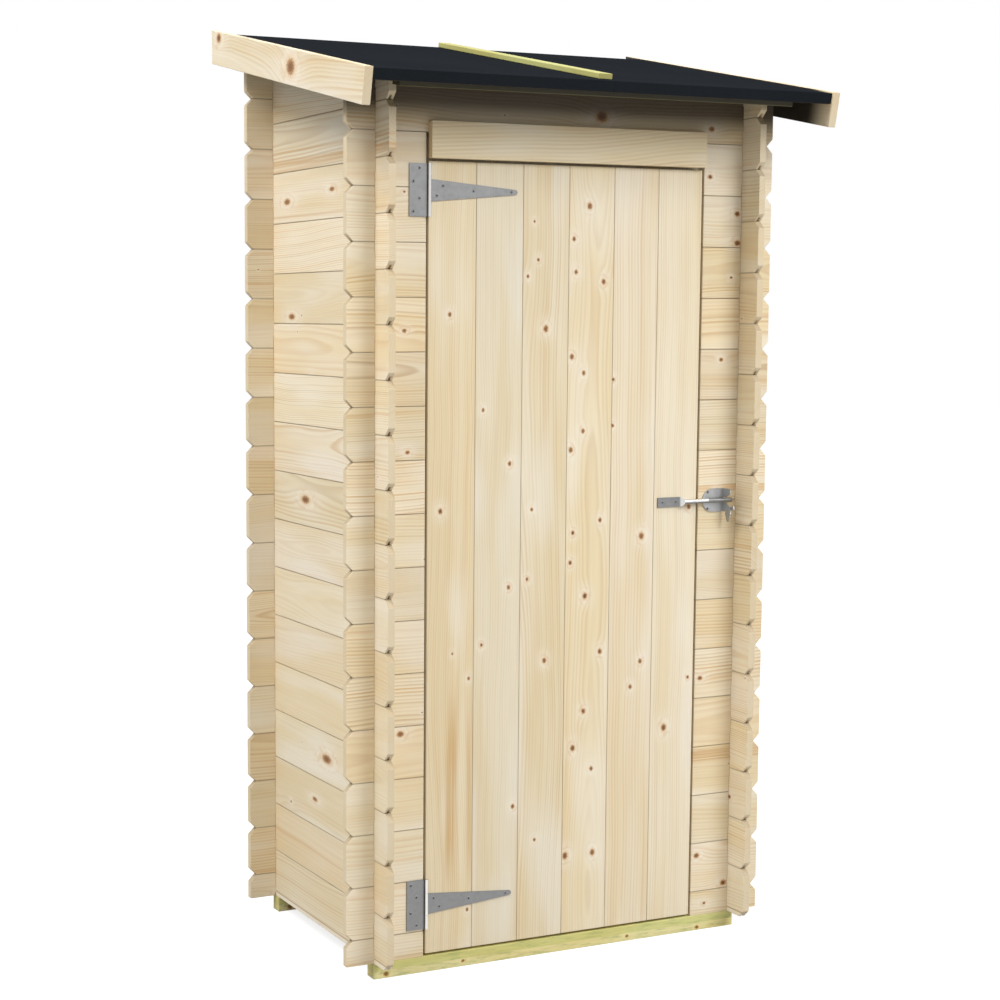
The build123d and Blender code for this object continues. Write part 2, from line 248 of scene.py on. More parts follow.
# pine as it is sawn: rings round a pith that wanders past the board, pushed aside by knots
# a range runs from low to high, and then gives its two ends where they aren't 0 and 1
pineSetting = {
    "pale": (0.860, 0.770, 0.580, 1), "warm": (0.81, 0.68, 0.44, 1), "tan": (0.62, 0.47, 0.28, 1),
    "orange": (0.68, 0.43, 0.185, 1), "joint": (0.22, 0.155, 0.095, 1), "bloom": (0.89, 0.835, 0.71, 1),
    "gloss": 0.3, "relief": 0.0006, "reliefShares": (0.5, 0.4, 0.6), "roughRange": (0.2, 0.8, 0.50, 0.66),
    # each board draws its own place in the tree
    "boardShift": 40.0, "drawSteps": (31.0, 57.0), "boardTone": (0.10, 0.93), "blush": (-0.018, 1.0),
    "wander": 0.55, "wanderScale": (1.3, 3.7), "sinkScale": (0.9, 5.3), "sinkSlice": 9.0,
    "pithDeep": (0.05, 0.09, -0.025), "jointRange": (0.0005, 0.0020, 1.0, 0.0),
    # growth rings
    "ringLeast": 0.0027, "ringSpread": 0.0045, "wobble": 0.005, "wobbleScale": (2.2, 22.0),
    "lateRise": (0.20, 0.80), "lateFall": (0.80, 1.0, 1.0, 0.0), "lateShare": (0.85, 0.15),
    "orangeShare": 0.8, "markShare": (0.9, 0.30),
    # fibres and slow changes of tone
    "fibreScale": (7.0, 650.0), "fibreDetail": 3.0, "fibreRange": (0.25, 0.75, 0.965, 1.03),
    "toneScale": (1.7, 16.0), "toneRange": (0.3, 0.75, -0.35, 0.45), "warmShare": 0.75,
    "streakScale": (0.8, 70.0), "streakRange": (0.58, 0.76), "streakShare": 0.6,
    "bloomScale": (2.4, 11.0), "bloomSlice": 7.1, "bloomRange": (0.50, 0.72, 0.0, 0.5), "slowDetail": 1.0,
    # knots
    "knotCore": (0.14, 0.055, 0.026, 1), "knotBody": (0.45, 0.24, 0.10, 1), "knotRim": (0.30, 0.14, 0.055, 1),
    "knotGlow": (0.74, 0.52, 0.28, 1), "haze": (0.93, 0.87, 0.77, 1), "hazeReach": 3.2, "hazeShare": 0.65,
    "knotPitch": 0.24, "cellStep": 13.7, "knotLeast": 0.0014, "knotMost": 0.0065, "knotRare": 2.5,
    "knotScale": 0.80, "knotStretch": 1.25, "pushAlong": 5.0, "pushAcross": 2.6, "push": 1.2,
    "farAway": 1000.0, "raggedScale": (260.0, 260.0), "raggedShare": 0.9, "glowRange": (0.9, 2.1, 0.7, 0.0),
    "unevenScale": (30.0, 45.0), "rimShift": 5.0, "rimRise": (1.9, 2.6), "rimFall": (2.6, 3.6, 1.0, 0.0),
    "rimShare": (0.45, 0.62, 0.08, 0.42), "coreShare": 0.45, "coreRange": (0.35, 0.80),
    "edgeRange": (0.60, 0.95), "knotRange": (0.70, 1.20, 1.0, 0.0),
}


# how far from a knot's heart, counted in its radius, and how much it pushes the rings there
def knotReach(tree, s, offAlong, offAcross, radius):
    first = over(tree, offAlong, radius)
    second = over(tree, offAcross, radius)
    reach = total(tree, squared(tree, first, s["knotStretch"]), squared(tree, second))
    swell = total(tree, squared(tree, first, s["pushAlong"]), squared(tree, second, s["pushAcross"]))
    return calc(tree, "SQRT", reach), fallOff(tree, swell)


# one knot at a chosen place; a chain of these carries the nearest knot and the push on the rings
def buildKnotSpot(s):
    inputs = numbers("Along", "Across", "At Along", "At Across", "Radius", "Nearest", "Push")
    tree, given, made = newGroup("knotSpot", inputs, numbers("Nearest", "Push"))
    offAlong = minus(tree, given["Along"], given["At Along"])
    offAcross = minus(tree, given["Across"], given["At Across"])
    reach, swell = knotReach(tree, s, offAlong, offAcross, given["Radius"])
    feed(tree, made["Nearest"], calc(tree, "MINIMUM", given["Nearest"], reach))
    feed(tree, made["Push"], scaled(tree, swell, given["Radius"], given["Push"]))
    return tree


def buildPineGrain(s):
    inputs = ["Along", "Across", "Depth", "Board Face", "Seed", "Ring Contrast", "Knot Share", "Warmth",
              "Joint Line", "Nearest", "Push", "Pith Aside", "Pith Spread"]
    outputs = colours("Color") + numbers("Roughness", "Height")
    tree, given, made = newGroup("pineGrain", numbers(*inputs), outputs)
    along, across, depth, face, seed = (given[label] for label in inputs[:5])

    board = calc(tree, "FLOOR", over(tree, across, face))
    local = minus(tree, across, times(tree, total(tree, board, 0.5), face))
    shiftDraw, pithDraw, deepDraw = dice(tree, board, seed)
    ringDraw, warmDraw, markDraw = dice(tree, total(tree, board, s["drawSteps"][0]), seed)
    toneDraw, blushDraw, _ = dice(tree, total(tree, board, s["drawSteps"][1]), seed)
    run = scaled(tree, shiftDraw, s["boardShift"], along)

    # the pith drifts slowly along the board, which draws the pointed arches
    wander = drift(tree, run, board, s["wanderScale"], seed)
    sink = drift(tree, run, board, s["sinkScale"], s["sinkSlice"])
    pithAcross = total(tree, times(tree, centred(tree, pithDraw), given["Pith Spread"]),
                       times(tree, centred(tree, wander), s["wander"]), given["Pith Aside"])
    deepShare, sinkShare, deepStart = s["pithDeep"]
    pithDeep = total(tree, times(tree, deepDraw, deepShare), times(tree, sink, sinkShare), deepStart)
    aside = minus(tree, local, times(tree, pithAcross, face))
    below = total(tree, depth, pithDeep)

    # besides the chosen knots, a small one or none in each cell along the board
    cellAlong = over(tree, run, s["knotPitch"])
    cellAcross = total(tree, over(tree, local, face), times(tree, board, s["cellStep"]), seed)
    cells = tree.nodes.new("ShaderNodeTexVoronoi")
    cells.voronoi_dimensions = "2D"
    cells.inputs["Scale"].default_value = 1.0
    feed(tree, cells.inputs["Vector"], vector(tree, cellAlong, cellAcross))
    spotAlong, spotAcross, _ = parts(tree, cells.outputs["Position"])
    sizeDraw, hereDraw, kindDraw = parts(tree, cells.outputs["Color"])
    here = calc(tree, "LESS_THAN", hereDraw, given["Knot Share"])
    knotSpread = s["knotMost"] - s["knotLeast"]
    radius = scaled(tree, calc(tree, "POWER", sizeDraw, s["knotRare"]), knotSpread, s["knotLeast"])
    offAlong = times(tree, minus(tree, cellAlong, spotAlong), s["knotPitch"])
    offAcross = times(tree, minus(tree, cellAcross, spotAcross), face)
    reach, swell = knotReach(tree, s, offAlong, offAcross, radius)
    away = times(tree, minus(tree, 1.0, here), s["farAway"])
    nearest = calc(tree, "MINIMUM", given["Nearest"], total(tree, reach, away))
    push = scaled(tree, times(tree, swell, here), radius, given["Push"])

    # growth rings, each with its own strength
    wobble = drift(tree, run, local, s["wobbleScale"], board)
    ringReach = total(tree, calc(tree, "SQRT", total(tree, squared(tree, aside), squared(tree, below))),
                      times(tree, wobble, s["wobble"]), times(tree, push, s["push"]))
    ringCount = over(tree, ringReach, scaled(tree, ringDraw, s["ringSpread"], s["ringLeast"]))
    ring = calc(tree, "FLOOR", ringCount)
    phase = minus(tree, ringCount, ring)
    ringStrength, ringOrange, _ = dice(tree, ring, total(tree, board, seed))
    lateWood = times(tree, ease(tree, phase, *s["lateRise"]), ease(tree, phase, *s["lateFall"]))
    lateWood = times(tree, lateWood, scaled(tree, ringStrength, *s["lateShare"]))

    # long fibres and slow changes of tone
    fibreDepth = times(tree, depth, s["fibreScale"][1])
    fibre = drift(tree, run, local, s["fibreScale"], fibreDepth, s["fibreDetail"])
    tone = drift(tree, run, local, s["toneScale"], board)
    streak = drift(tree, run, ringReach, s["streakScale"], board, s["slowDetail"])
    bloom = drift(tree, run, local, s["bloomScale"], times(tree, board, s["bloomSlice"]), s["slowDetail"])
    warmth = total(tree, times(tree, warmDraw, s["warmShare"]), ease(tree, tone, *s["toneRange"]),
                   given["Warmth"])
    strength = times(tree, given["Ring Contrast"], scaled(tree, markDraw, *s["markShare"]))
    streakMask = times(tree, ease(tree, streak, *s["streakRange"]), times(tree, strength, s["streakShare"]))
    base = tint(tree, ease(tree, warmth, 0.0, 1.0), s["pale"], s["warm"])
    base = tint(tree, streakMask, base, s["orange"])
    lateColour = tint(tree, times(tree, ringOrange, s["orangeShare"]), s["tan"], s["orange"])
    colour = tint(tree, times(tree, lateWood, strength), base, lateColour)
    colour = tint(tree, ease(tree, bloom, *s["bloomRange"]), colour, s["bloom"])
    shade = times(tree, ease(tree, fibre, *s["fibreRange"]), scaled(tree, toneDraw, *s["boardTone"]))
    blush = scaled(tree, blushDraw, *s["blush"])      # some boards are a little pinker
    colour = shaded(tree, colour, vector(tree, shade, times(tree, shade, blush), shade))

    # the knot: dark heart, brown body, darker rim, an orange glow and a pale haze round it
    ragged = drift(tree, run, local, s["raggedScale"])
    inside = scaled(tree, centred(tree, ragged), s["raggedShare"], nearest)
    haze = fallOff(tree, squared(tree, nearest, s["hazeReach"]))
    colour = tint(tree, times(tree, haze, s["hazeShare"]), colour, s["haze"])
    colour = tint(tree, ease(tree, inside, *s["glowRange"]), colour, s["knotGlow"])
    uneven = drift(tree, run, local, s["unevenScale"], board)
    rim = scaled(tree, centred(tree, uneven), s["rimShift"], nearest)
    crescent = times(tree, ease(tree, rim, *s["rimRise"]), ease(tree, rim, *s["rimFall"]))
    crescent = times(tree, crescent, ease(tree, uneven, *s["rimShare"]))
    colour = tint(tree, crescent, colour, s["orange"])
    core = tint(tree, times(tree, kindDraw, s["coreShare"]), s["knotCore"], s["knotBody"])
    knot = tint(tree, ease(tree, inside, *s["coreRange"]), core, s["knotBody"])
    knot = tint(tree, times(tree, ease(tree, inside, *s["edgeRange"]), kindDraw), knot, s["knotRim"])
    mask = ease(tree, inside, *s["knotRange"])
    colour = tint(tree, mask, colour, knot)

    # the dark line where two boards meet
    toEdge = minus(tree, times(tree, face, 0.5), size(tree, local))
    line = times(tree, ease(tree, toEdge, *s["jointRange"]), given["Joint Line"])
    feed(tree, made["Color"], tint(tree, line, colour, s["joint"]))
    feed(tree, made["Roughness"], ease(tree, fibre, *s["roughRange"]))
    marks = zip((fibre, lateWood, mask), s["reliefShares"])
    feed(tree, made["Height"], total(tree, *(times(tree, mark, share) for mark, share in marks)))
    return tree


# sawn across, end grain is a little darker on a plain end; a cut that faces up gets painted shade, a cut that
# faces down painted light
endSetting = {
    "plain": (0.88, 0.85, 0.80, 1), "upShade": (0.60, 0.56, 0.50, 1), "downLight": (1.0, 0.96, 0.90, 1),
    "soft": (0.82, 0.71, 0.52, 1), "share": 0.6, "sawnRange": (0.45, 0.62), "upRange": (0.1, 0.6),
    "downRange": (-0.6, -0.1, 1.0, 0.0),
}


def buildEndGrain(s):
    inputs = colours("Color") + numbers("Facing Along", "Facing Up")
    tree, given, made = newGroup("endGrain", inputs, colours("Color"))
    sawn = ease(tree, size(tree, given["Facing Along"]), *s["sawnRange"])
    # painted shade on cuts facing up, painted light on cuts facing down
    tone = tint(tree, ease(tree, given["Facing Up"], *s["upRange"]), s["plain"], s["upShade"])
    tone = tint(tree, ease(tree, given["Facing Up"], *s["downRange"]), tone, s["downLight"])
    soft = tint(tree, s["share"], given["Color"], s["soft"])
    feed(tree, made["Color"], tint(tree, sawn, given["Color"], shaded(tree, soft, tone)))
    return tree


knotSpot = buildKnotSpot(pineSetting)
pineGrain = buildPineGrain(pineSetting)
endGrain = buildEndGrain(endSetting)


# axes: along the grain, across the face, through the board; start: where each is counted from
# a stain laid over the grain is real colour on some pieces and painted shade on others
def pineMaterial(name, axes, start, face, seed, contrast=0.5, knots=0.4, warmth=0.1, line=0.0, spots=(),
                 turn=0.0, stainAndShade=None, aside=0.0, spread=2.2, stretch=1.0):
    material, tree, shader = newMaterial(name)
    spot = place(tree)
    if turn:
        node = tree.nodes.new("ShaderNodeVectorRotate")
        node.rotation_type = "X_AXIS"
        node.inputs["Angle"].default_value = turn
        feed(tree, node.inputs["Vector"], spot)
        spot = node.outputs[0]
    xyz = dict(zip("XYZ", parts(tree, spot)))
    along, across, depth = (xyz[axis] for axis in axes)
    nearest, push = pineSetting["farAway"], 0.0
    drawn = over(tree, along, stretch)      # long knots on some walls
    for atAlong, atAcross, radius in spots:
        values = {
            "Along": drawn, "Across": across, "At Along": atAlong / stretch, "At Across": atAcross,
            "Radius": radius * pineSetting["knotScale"], "Nearest": nearest, "Push": push,
        }
        chain = placeGroup(tree, knotSpot, values)
        nearest, push = chain["Nearest"], chain["Push"]
    values = {
        "Along": minus(tree, along, start[0]), "Across": minus(tree, across, start[1]),
        "Depth": minus(tree, size(tree, depth), abs(start[2])), "Board Face": face, "Seed": seed,
        "Ring Contrast": contrast, "Knot Share": knots, "Warmth": warmth, "Joint Line": line,
        "Nearest": nearest, "Push": push, "Pith Aside": aside, "Pith Spread": spread,
    }
    grain = placeGroup(tree, pineGrain, values)
    turned = dict(zip("XYZ", facing(tree)))
    values = {"Color": grain["Color"], "Facing Along": turned[axes[0]], "Facing Up": turned["Z"]}
    colour = placeGroup(tree, endGrain, values)["Color"]
    colour = stainAndShade(tree, colour, xyz) if stainAndShade else colour
    feed(tree, shader.inputs["Base Color"], colour)
    feed(tree, shader.inputs["Roughness"], grain["Roughness"])
    shader.inputs["Specular IOR Level"].default_value = pineSetting["gloss"]
    bump(tree, shader, grain["Height"], pineSetting["relief"])
    return material


# timber treated with salts, green on the strip and the bearers
treatedSetting = {
    "olive": (0.51, 0.565, 0.24, 1), "fresh": (0.70, 0.77, 0.39, 1), "driftScale": (3.0, 30.0),
    "bearerTop": (0.79, 0.85, 0.43, 1), "bearerFoot": (0.96, 0.965, 0.61, 1), "bearerBreak": 0.0175,
    "patch": (0.50, 0.62, 0.30, 1), "patchScale": (16.0, 110.0), "patchDetail": 4.0, "patchRough": 0.65,
    "patchRange": (0.46, 0.70, 0.0, 0.75),
    # the batten's painted shade and the painted line of light along its foot
    "shadow": (0.06, 0.06, 0.045, 1), "line": (0.20, 0.21, 0.10, 1), "edge": 0.0018,
}


def treatStrip(tree, colour, xyz):
    s = treatedSetting
    salt = tint(tree, drift(tree, xyz["X"], xyz["Z"], s["driftScale"]), s["olive"], s["fresh"])
    return shaded(tree, colour, salt)


# the bearers are darker on their upper half than at the foot, with darker patches
def treatBearer(tree, colour, xyz):
    s = treatedSetting
    upper = calc(tree, "GREATER_THAN", xyz["Z"], s["bearerBreak"])
    salt = tint(tree, upper, s["bearerFoot"], s["bearerTop"])
    patch = drift(tree, xyz["X"], xyz["Z"], s["patchScale"], 0.0, s["patchDetail"], s["patchRough"])
    return shaded(tree, colour, tint(tree, ease(tree, patch, *s["patchRange"]), salt, s["patch"]))


# painted shade: the batten is painted near black, as in the shade of the eaves, with a paler painted line of
# light along its foot
def paintedBattenShade(tree, colour, xyz):
    s = treatedSetting
    aboveFoot = ease(tree, minus(tree, xyz["Z"], battenFoot), 0.0, s["edge"])
    return shaded(tree, colour, tint(tree, aboveFoot, s["line"], s["shadow"]))


deckShadeTone = (0.080, 0.075, 0.070, 1)      # painted shade: the roof boards are painted near black all over, as the shade under the eaves


def paintedDeckShade(tree, colour, xyz):
    return shaded(tree, colour, deckShadeTone)


# painted shade: under the roof the inner faces of the barge boards are painted as dark as the roof boards,
# from a little behind their front ends
bargeSetting = {"inner": (0.025, 0.024, 0.023, 1), "innerRange": (-0.7, -0.4, 1.0, 0.0),
                "backRange": (0.01, 0.08), "faceBelow": 0.018, "middle": 0.55}


def paintedBargeShade(tree, colour, xyz):
    s = bargeSetting
    inward = times(tree, facing(tree)[0], calc(tree, "SIGN", xyz["X"]))
    back = ease(tree, minus(tree, xyz["Y"], bargeStart), *s["backRange"])
    mask = times(tree, ease(tree, inward, *s["innerRange"]), back)
    return tint(tree, mask, colour, shaded(tree, colour, s["inner"]))


# painted shade: the log under the eaves is painted darker towards the roof
eavesShadeSetting = {"dark": (0.15, 0.138, 0.125, 1), "range": (0.045, 0.100, 1.0, 0.0)}


def paintedEavesShade(tree, colour, xyz):
    s = eavesShadeSetting
    mask = ease(tree, minus(tree, frontTop, xyz["Z"]), *s["range"])
    return tint(tree, mask, colour, shaded(tree, colour, s["dark"]))


# the foot of the side walls is paler in a thin strip, with a line over it
footSetting = {"height": 0.011, "pale": (0.90, 0.82, 0.68, 1), "paleShare": 0.7, "fade": 0.0005,
               "line": (0.46, 0.32, 0.17, 1), "lineRange": (0.0006, 0.0024, 0.85, 0.0)}


def buildPaleFoot(s):
    tree, given, made = newGroup("paleFoot", colours("Color") + numbers("Rise"), colours("Color"))
    strip = ease(tree, given["Rise"], s["height"] - s["fade"], s["height"], s["paleShare"], 0.0)
    colour = tint(tree, strip, given["Color"], s["pale"])
    offLine = size(tree, minus(tree, given["Rise"], s["height"]))
    feed(tree, made["Color"], tint(tree, ease(tree, offLine, *s["lineRange"]), colour, s["line"]))
    return tree


# orange bands along a few logs, as (height, half width, strength)
bandSetting = {
    "tone": (0.60, 0.36, 0.15, 1), "scale": (2.5, 380.0), "range": (0.4, 1.0, 1.0, 0.0),
    "streakRange": (0.35, 0.62, 0.25, 1.0),
    "left": [(1.735, 0.011, 0.75), (1.760, 0.004, 0.50), (1.617, 0.005, 0.45)],
    "front": [(0.406, 0.021, 0.80)],
}


def buildOrangeBand(s):
    inputs = colours("Color") + numbers("Along", "Across", "Middle", "Half Width", "Strength")
    tree, given, made = newGroup("orangeBand", inputs, colours("Color"))
    streaks = ease(tree, drift(tree, given["Along"], given["Across"], s["scale"]), *s["streakRange"])
    off = size(tree, minus(tree, given["Across"], given["Middle"]))
    band = ease(tree, over(tree, off, given["Half Width"]), *s["range"])
    mask = times(tree, times(tree, band, given["Strength"]), streaks)
    feed(tree, made["Color"], tint(tree, mask, given["Color"], s["tone"]))
    return tree


paleFoot = buildPaleFoot(footSetting)
orangeBand = buildOrangeBand(bandSetting)


def banded(tree, colour, along, height, bands):
    for middle, half, strength in bands:
        values = {"Color": colour, "Along": along, "Across": height, "Middle": middle, "Half Width": half,
                  "Strength": strength}
        colour = placeGroup(tree, orangeBand, values)["Color"]
    return colour


def rightStain(tree, colour, xyz):
    return placeGroup(tree, paleFoot, {"Color": colour, "Rise": minus(tree, xyz["Z"], wallFoot)})["Color"]


def leftStain(tree, colour, xyz):
    return rightStain(tree, banded(tree, colour, xyz["Y"], xyz["Z"], bandSetting["left"]), xyz)


# orange bands beside the door, and the painted shade under the eaves
def frontBandsAndShade(tree, colour, xyz):
    marked = banded(tree, colour, xyz["X"], xyz["Z"], bandSetting["front"])
    besideDoor = calc(tree, "GREATER_THAN", xyz["X"], doorRight)
    return paintedEavesShade(tree, tint(tree, besideDoor, colour, marked), xyz)


# an orange streak low on the first door board
streakSetting = {"tone": (0.62, 0.40, 0.17, 1), "scale": (260.0, 2.5), "grainRange": (0.3, 0.6, 0.35, 0.85),
                 "broad": -0.275, "broadRange": (0.006, 0.021, 1.0, 0.0),
                 "thin": -0.231, "thinRange": (0.003, 0.014, 0.7, 0.0),
                 "footRange": (0.12, 0.30), "headRange": (0.46, 0.66, 1.0, 0.0)}


def orangeStreak(tree, colour, xyz):
    s = streakSetting
    grain = ease(tree, drift(tree, xyz["X"], xyz["Z"], s["scale"]), *s["grainRange"])
    broad = ease(tree, size(tree, minus(tree, xyz["X"], s["broad"])), *s["broadRange"])
    thin = ease(tree, size(tree, minus(tree, xyz["X"], s["thin"])), *s["thinRange"])
    height = times(tree, ease(tree, xyz["Z"], *s["footRange"]), ease(tree, xyz["Z"], *s["headRange"]))
    mask = times(tree, times(tree, calc(tree, "MAXIMUM", broad, thin), height), grain)
    return tint(tree, mask, colour, s["tone"])


# each wooden piece: where its grain runs and how strong it is, with chosen knots as (along, across, radius)
logStart = wallFoot - halfLog      # the front and back walls start with half a log
bargeFace = bargeFoot - bargeSetting["faceBelow"]
pineBoards = {
    "left": {
        "name": "pineLeftLogs", "axes": "YZX", "start": (0, wallFoot, sideMiddle), "face": logFace,
        "seed": 3.0, "contrast": 0.80, "knots": 0.22, "warmth": 0.16, "line": 0.6, "stainAndShade": leftStain,
        "stretch": 2.0,
        "spots": [(0.125, 0.990, 0.011), (-0.020, 1.665, 0.006), (0.225, 1.650, 0.008), (0.010, 0.425, 0.012),
                  (0.200, 1.395, 0.008), (0.075, 0.320, 0.006)],
    },
    "right": {
        "name": "pineRightLogs", "axes": "YZX", "start": (3, wallFoot, sideMiddle), "face": logFace,
        "seed": 4.0, "contrast": 0.80, "knots": 0.30, "warmth": 0.16, "line": 0.6, "stainAndShade": rightStain,
    },
    "front": {
        "name": "pineFrontLogs", "axes": "XZY", "start": (0, logStart, frontMiddle), "face": logFace,
        "seed": 11.0, "contrast": 0.88, "knots": 0.25, "warmth": 0.24, "line": 0.6, "stainAndShade": frontBandsAndShade,
        "spots": [(0.355, 0.585, 0.006), (0.355, 0.175, 0.007), (0.430, 0.103, 0.008), (-0.390, 1.367, 0.005),
                  (-0.382, 1.116, 0.005), (0.395, 1.300, 0.005), (0.077, 1.818, 0.014), (0.358, 1.803, 0.007),
                  (0.356, 1.700, 0.006), (0.430, 1.621, 0.007), (0.432, 1.557, 0.008)],
    },
    "back": {
        "name": "pineBackLogs", "axes": "XZY", "start": (0, logStart, backMiddle), "face": logFace,
        "seed": 23.0, "contrast": 0.80, "knots": 0.25, "warmth": 0.28, "line": 0.6,
    },
    "header": {
        "name": "pineHeader", "axes": "XZY", "start": (0, 1.6, frontMiddle), "face": 0.5, "seed": 5.0,
        "contrast": 0.6, "knots": 0.2, "warmth": 0.75,
    },
    "inside": {"name": "pineInside", "axes": "ZXY", "start": (0, 0, 0), "face": 0.09, "seed": 14.0},
    "floor": {"name": "pineFloor", "axes": "YXZ", "start": (0, -0.5, wallFoot), "face": 0.11, "seed": 17.0},
    "deck": {
        "name": "pineRoofBoards", "axes": "YXZ", "start": (0, 0, 2.0), "face": 0.109, "seed": 9.0,
        "contrast": 0.6, "knots": 0.5, "turn": -roofSlope, "stainAndShade": paintedDeckShade,
    },
    "barge": {
        "name": "pineBarge", "axes": "YZX", "start": (0, bargeFace, bargeSetting["middle"]), "face": 0.110,
        "seed": 2.0, "contrast": 0.9, "knots": 0.15, "warmth": -0.2, "turn": -roofSlope,
        "stainAndShade": paintedBargeShade, "spots": [(0.342, 1.881, 0.021), (0.770, 1.904, 0.013)],
    },
    "strip": {
        "name": "treatedStrip", "axes": "YXZ", "start": (0, -0.15, 2.0), "face": 0.3, "seed": 6.0,
        "turn": -roofSlope, "stainAndShade": treatStrip,
    },
    "batten": {
        "name": "treatedBatten", "axes": "XYZ", "start": (0, 0, 2.0), "face": 0.3, "seed": 7.0,
        "turn": -roofSlope, "stainAndShade": paintedBattenShade,
    },
    "bearer": {
        "name": "treatedBearer", "axes": "XZY", "start": (0, -0.06, frontMiddle), "face": 0.2, "seed": 6.0,
        "knots": 0.5, "stainAndShade": treatBearer,
        "spots": [(-0.428, 0.009, 0.006), (0.360, 0.007, 0.005), (0.172, 0.011, 0.004),
                  (-0.244, 0.012, 0.004)],
    },
}

# each door board by itself: its tone and its own knots as (height, place across, radius)
doorSetting = {"axes": "ZXY", "start": (0, doorLeft, frontMiddle), "face": logFace, "knots": 0.10,
               "line": 0.28, "spread": 0.0}
doorBoards = [
    {"seed": 41.0, "contrast": 0.50, "warmth": 0.15, "aside": -1.5, "stainAndShade": orangeStreak,
     "spots": [(1.400, -0.285, 0.005), (0.990, -0.305, 0.006), (0.630, -0.235, 0.004),
               (0.125, -0.235, 0.004)]},
    {"seed": 42.0, "contrast": 0.35, "warmth": -0.20, "aside": 1.3,
     "spots": [(1.200, -0.205, 0.004), (1.085, -0.140, 0.005), (0.820, -0.140, 0.005), (0.700, -0.205, 0.004),
               (0.340, -0.125, 0.005)]},
    {"seed": 43.0, "contrast": 0.50, "warmth": 0.00, "aside": -0.7,
     "spots": [(1.595, -0.085, 0.003), (1.515, -0.075, 0.004), (1.480, -0.100, 0.004),
               (1.370, -0.055, 0.007), (0.985, -0.085, 0.004), (0.835, -0.095, 0.004),
               (0.655, -0.050, 0.006), (0.260, -0.070, 0.004)]},
    {"seed": 44.0, "contrast": 0.70, "warmth": 0.90, "aside": 0.1,
     "spots": [(1.630, 0.050, 0.007), (1.560, 0.012, 0.005), (1.490, 0.018, 0.005), (1.470, 0.087, 0.006),
               (1.310, 0.010, 0.006), (1.275, 0.040, 0.005), (1.150, 0.040, 0.005), (1.110, 0.010, 0.006),
               (0.955, 0.086, 0.005), (0.930, 0.018, 0.005), (0.865, 0.012, 0.005), (0.790, 0.050, 0.007),
               (0.665, 0.090, 0.006), (0.535, 0.050, 0.006), (0.455, 0.024, 0.007), (0.405, 0.072, 0.005),
               (0.215, 0.078, 0.007), (0.215, 0.008, 0.008)]},
    {"seed": 45.0, "contrast": 0.42, "warmth": 0.00, "aside": 1.6,
     "spots": [(1.260, 0.115, 0.004), (1.160, 0.115, 0.004), (0.580, 0.170, 0.005)]},
    {"seed": 46.0, "contrast": 0.36, "warmth": -0.20, "aside": -1.8,
     "spots": [(0.480, 0.260, 0.008), (0.590, 0.322, 0.004), (0.975, 0.316, 0.006)]},
]
for count, s in enumerate(doorBoards, 1):
    pineBoards[f"door{count}"] = {"name": f"pineDoorBoard{count}", **doorSetting, **s}
pine = {piece: pineMaterial(**s) for piece, s in pineBoards.items()}
print("pine materials done")


feltSetting = {
    "dark": (0.0095, 0.0110, 0.0130, 1), "light": (0.0215, 0.0252, 0.0300, 1), "relief": 0.0006,
    "grit": 900.0, "gritDetail": 2.0, "gritRough": 0.7, "gritRange": (0.35, 0.7), "gritShare": 0.6,
    "drift": 6.0, "driftDetail": 3.0, "driftShare": 0.35, "roughRange": (0.3, 0.7, 0.75, 0.92),
}


def feltMaterial(s):
    material, tree, shader = newMaterial("mineralFelt")
    spot = place(tree)
    grit = cloud(tree, spot, s["grit"], s["gritDetail"], s["gritRough"])
    wearAndHighlight = cloud(tree, spot, s["drift"], s["driftDetail"])
    factor = total(tree, times(tree, ease(tree, grit, *s["gritRange"]), s["gritShare"]),
                   times(tree, wearAndHighlight, s["driftShare"]))
    feed(tree, shader.inputs["Base Color"], tint(tree, factor, s["dark"], s["light"]))
    feed(tree, shader.inputs["Roughness"], ease(tree, grit, *s["roughRange"]))
    shader.inputs["Specular IOR Level"].default_value = 0.0
    bump(tree, shader, grit, s["relief"])
    return material


# zinc on steel: dull flakes, and a painted highlight down the front of the knuckles and on the upper side of
# the round bar
zincSetting = {
    "dull": (0.195, 0.197, 0.198, 1), "bright": (0.262, 0.264, 0.265, 1), "spangle": 160.0,
    "flakeShare": 0.45, "smear": 70.0, "smearDetail": 3.0, "smearShare": 0.5,
    "roughRange": (0.1, 0.9, 0.36, 0.52), "metal": 0.85, "relief": 0.0002, "reliefShare": 0.3,
    # colour and roughness of the painted highlight
    "wearAndHighlight": (0.70, 0.70, 0.69, 1), "highlightRough": 0.22,
}
# the latch has a lighter copy of the zinc: painted light on the latch
latchZincSetting = {**zincSetting, "dull": (0.34, 0.345, 0.345, 1), "bright": (0.48, 0.485, 0.485, 1)}


def buildZincFlakes(s):
    inputs = [("Place", "NodeSocketVector")] + colours("Dull", "Bright")
    tree, given, made = newGroup("zincFlakes", inputs, colours("Color") + numbers("Roughness", "Height"))
    flakes = tree.nodes.new("ShaderNodeTexVoronoi")
    flakes.inputs["Scale"].default_value = s["spangle"]
    feed(tree, flakes.inputs["Vector"], given["Place"])
    flake = parts(tree, flakes.outputs["Color"])[0]
    smear = cloud(tree, given["Place"], s["smear"], s["smearDetail"])
    factor = total(tree, times(tree, flake, s["flakeShare"]), times(tree, smear, s["smearShare"]))
    feed(tree, made["Color"], tint(tree, factor, given["Dull"], given["Bright"]))
    feed(tree, made["Roughness"], ease(tree, factor, *s["roughRange"]))
    feed(tree, made["Height"], smear)
    return tree


